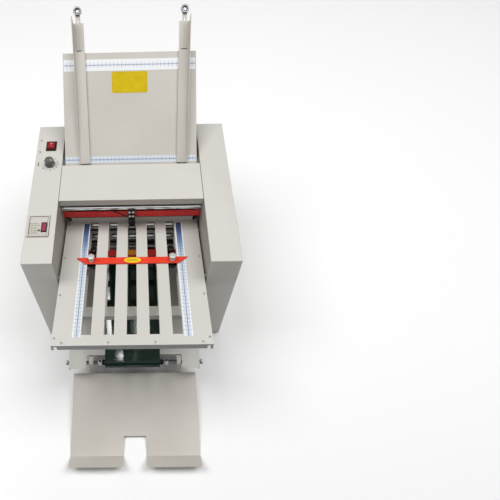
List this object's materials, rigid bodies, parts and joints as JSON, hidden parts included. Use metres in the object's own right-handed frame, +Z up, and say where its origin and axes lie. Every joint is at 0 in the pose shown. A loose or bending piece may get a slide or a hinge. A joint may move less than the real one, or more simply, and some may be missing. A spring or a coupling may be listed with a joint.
{
  "type": "paper folding machine",
  "caption": "Desk paper folder with slotted fold plates, sliding stop bars, sloping feed panel with side guides, geared fold rollers, lift-up cover, delivery belt and hinged catch tray.",
  "frame": {"origin": "on the table, under the middle of the machine's bounding box", "axes": "+X to the operator's right, +Y to the back (towards the feed panel), +Z up; the catch tray and the fold plates point to -Y"},
  "size_m": [0.497, 0.9782, 0.6538],
  "materials": {
    "paint": "satin powder coat",
    "paint_dark": "satin powder coat",
    "steel": "brushed",
    "chrome": "polished",
    "rubber": "matt",
    "red": "satin",
    "dark_red": "gloss",
    "black": "satin",
    "green_belt": "glossy",
    "nylon": "matt",
    "knob_grey": "satin"
  },
  "bodies": {
    "machine": {"base_pan": "paint_dark", "foot_front_left": "rubber", "foot_front_right": "rubber", "foot_back_left": "rubber", "foot_back_right": "rubber", "left_frame_plate": "paint", "right_frame_plate": "paint", "left_cover": "paint", "right_cover": "paint", "front_tie_bar": "chrome", "rear_tie_bar": "chrome", "red_guide_bar": "dark_red", "feed_panel": "paint", "feed_support": "paint_dark", "upper_front_plate": "paint", "lower_front_plate": "paint", "upper_rear_plate": "paint", "lower_rear_plate": "paint", "sensor_block": "black", "sensor_lead": "black", "delivery_deck": "paint_dark", "cross_rod": "steel", "delivery_belt": "green_belt", "motor": "black", "drive_belt": "rubber", "feed_belt": "rubber", "conveyor_drive_belt": "rubber", "counter_bezel": "paint_dark", "switch_frame": "black", "control_board": "green_belt", "power_inlet": "black"},
    "cover": {"top_cover": "paint"},
    "rocker": {"power_rocker": "dark_red"},
    "knob": {"speed_knob": "knob_grey"},
    "key": {"counter_key": "black"},
    "upper_stop": {"upper_stop_bar": "red"},
    "screw_left": {"stop_screw_left": "chrome"},
    "screw_right": {"stop_screw_right": "chrome"},
    "lower_stop": {"lower_stop_bar": "red"},
    "guide_left": {"left_side_guide": "paint"},
    "guide_right": {"right_side_guide": "paint"},
    "extension_left": {"left_guide_extension": "steel"},
    "extension_right": {"right_guide_extension": "steel"},
    "feed_drum": {"feed_roller": "rubber"},
    "motor_shaft": {"motor_pulley": "steel"},
    "belt_roller_rear": {"conveyor_rear_roller": "steel"},
    "belt_roller_front": {"conveyor_front_roller": "steel"},
    "tray": {"catch_tray": "paint"},
    "roller_1": {"fold_roller_1": "rubber", "roller_gear_1": "nylon"},
    "roller_2": {"fold_roller_2": "rubber", "roller_gear_2": "nylon"},
    "roller_3": {"fold_roller_3": "rubber", "roller_gear_3": "nylon"},
    "roller_4": {"fold_roller_4": "rubber", "roller_gear_4": "nylon"},
    "roller_5": {"fold_roller_5": "rubber", "roller_gear_5": "nylon"},
    "roller_6": {"fold_roller_6": "rubber", "roller_gear_6": "nylon"}
  },
  "joints": [
    {"name": "top_cover_lift", "type": "hinge", "parent": "machine", "child": "cover", "pos_m": [0, 0.16439, 0.408], "axis": [-1, 0, 0], "range_deg": [0, 75]},
    {"name": "power_rocker_tip", "type": "hinge", "parent": "machine", "child": "rocker", "pos_m": [-0.2103, 0.23689, 0.4144], "axis": [1, 0, 0], "range_deg": [0, 16]},
    {"name": "speed_knob_turn", "type": "hinge", "parent": "machine", "child": "knob", "pos_m": [-0.2086, 0.17319, 0.42], "axis": [0, 0, 1], "range_deg": [-135, 135]},
    {"name": "counter_key_press", "type": "slide", "parent": "machine", "child": "key", "axis": [0, 0, -1], "range_m": [0, 0.0018], "stiffness_N_per_m": 200},
    {"name": "upper_stop_slide", "type": "slide", "parent": "machine", "child": "upper_stop", "axis": [0, 0.9819, -0.1896], "range_m": [-0.205, 0.12]},
    {"name": "stop_screw_left_turn", "type": "hinge", "parent": "upper_stop", "child": "screw_left", "pos_m": [-0.0994, -0.06539, 0.32101], "axis": [0, 0.1896, 0.9819], "range_deg": [0, 360]},
    {"name": "stop_screw_right_turn", "type": "hinge", "parent": "upper_stop", "child": "screw_right", "pos_m": [0.0994, -0.06539, 0.32101], "axis": [0, 0.1896, 0.9819], "range_deg": [0, 360]},
    {"name": "lower_stop_slide", "type": "slide", "parent": "machine", "child": "lower_stop", "axis": [0, 0.9819, -0.1896], "range_m": [-0.165, 0.06]},
    {"name": "left_guide_slide", "type": "slide", "parent": "machine", "child": "guide_left", "axis": [1, 0, 0], "range_m": [-0.012, 0.1]},
    {"name": "right_guide_slide", "type": "slide", "parent": "machine", "child": "guide_right", "axis": [-1, 0, 0], "range_m": [-0.012, 0.1]},
    {"name": "left_extension_slide", "type": "slide", "parent": "guide_left", "child": "extension_left", "axis": [-0.0288, 0.7973, 0.603], "range_m": [0, 0.12]},
    {"name": "right_extension_slide", "type": "slide", "parent": "guide_right", "child": "extension_right", "axis": [0.0288, 0.7973, 0.603], "range_m": [0, 0.12]},
    {"name": "fold_roller_1_spin", "type": "hinge", "parent": "machine", "child": "roller_1", "pos_m": [0, 0.09288, 0.309], "axis": [1, 0, 0], "continuous": true},
    {"name": "fold_roller_2_spin", "type": "hinge", "parent": "machine", "child": "roller_2", "pos_m": [0, 0.10199, 0.28465], "axis": [1, 0, 0], "continuous": true},
    {"name": "fold_roller_3_spin", "type": "hinge", "parent": "machine", "child": "roller_3", "pos_m": [0, 0.08545, 0.26458], "axis": [1, 0, 0], "continuous": true},
    {"name": "fold_roller_4_spin", "type": "hinge", "parent": "machine", "child": "roller_4", "pos_m": [0, 0.09456, 0.24023], "axis": [1, 0, 0], "continuous": true},
    {"name": "fold_roller_5_spin", "type": "hinge", "parent": "machine", "child": "roller_5", "pos_m": [0, 0.07802, 0.22017], "axis": [1, 0, 0], "continuous": true},
    {"name": "fold_roller_6_spin", "type": "hinge", "parent": "machine", "child": "roller_6", "pos_m": [0, 0.08712, 0.19581], "axis": [1, 0, 0], "continuous": true},
    {"name": "feed_roller_spin", "type": "hinge", "parent": "machine", "child": "feed_drum", "pos_m": [0, 0.12829, 0.3911], "axis": [1, 0, 0], "continuous": true},
    {"name": "motor_pulley_spin", "type": "hinge", "parent": "machine", "child": "motor_shaft", "pos_m": [0, 0.17589, 0.056], "axis": [1, 0, 0], "continuous": true},
    {"name": "conveyor_rear_spin", "type": "hinge", "parent": "machine", "child": "belt_roller_rear", "pos_m": [0, 0.04057, 0.13432], "axis": [1, 0, 0], "continuous": true},
    {"name": "conveyor_front_spin", "type": "hinge", "parent": "machine", "child": "belt_roller_front", "pos_m": [0, -0.23911, 0.085], "axis": [1, 0, 0], "continuous": true},
    {"name": "catch_tray_swing", "type": "hinge", "parent": "machine", "child": "tray", "pos_m": [0, -0.23911, 0.085], "axis": [-1, 0, 0], "range_deg": [0, 90]}
  ],
  "couplings": [
    {"joint": "motor_pulley_spin", "follows": "fold_roller_4_spin", "ratio": 1},
    {"joint": "fold_roller_1_spin", "follows": "fold_roller_4_spin", "ratio": -1},
    {"joint": "fold_roller_2_spin", "follows": "fold_roller_4_spin", "ratio": 1},
    {"joint": "fold_roller_3_spin", "follows": "fold_roller_4_spin", "ratio": -1},
    {"joint": "fold_roller_5_spin", "follows": "fold_roller_4_spin", "ratio": -1},
    {"joint": "fold_roller_6_spin", "follows": "fold_roller_4_spin", "ratio": 1},
    {"joint": "feed_roller_spin", "follows": "fold_roller_4_spin", "ratio": -0.75},
    {"joint": "conveyor_rear_spin", "follows": "fold_roller_4_spin", "ratio": 0.73333},
    {"joint": "conveyor_front_spin", "follows": "fold_roller_4_spin", "ratio": 0.73333}
  ]
}
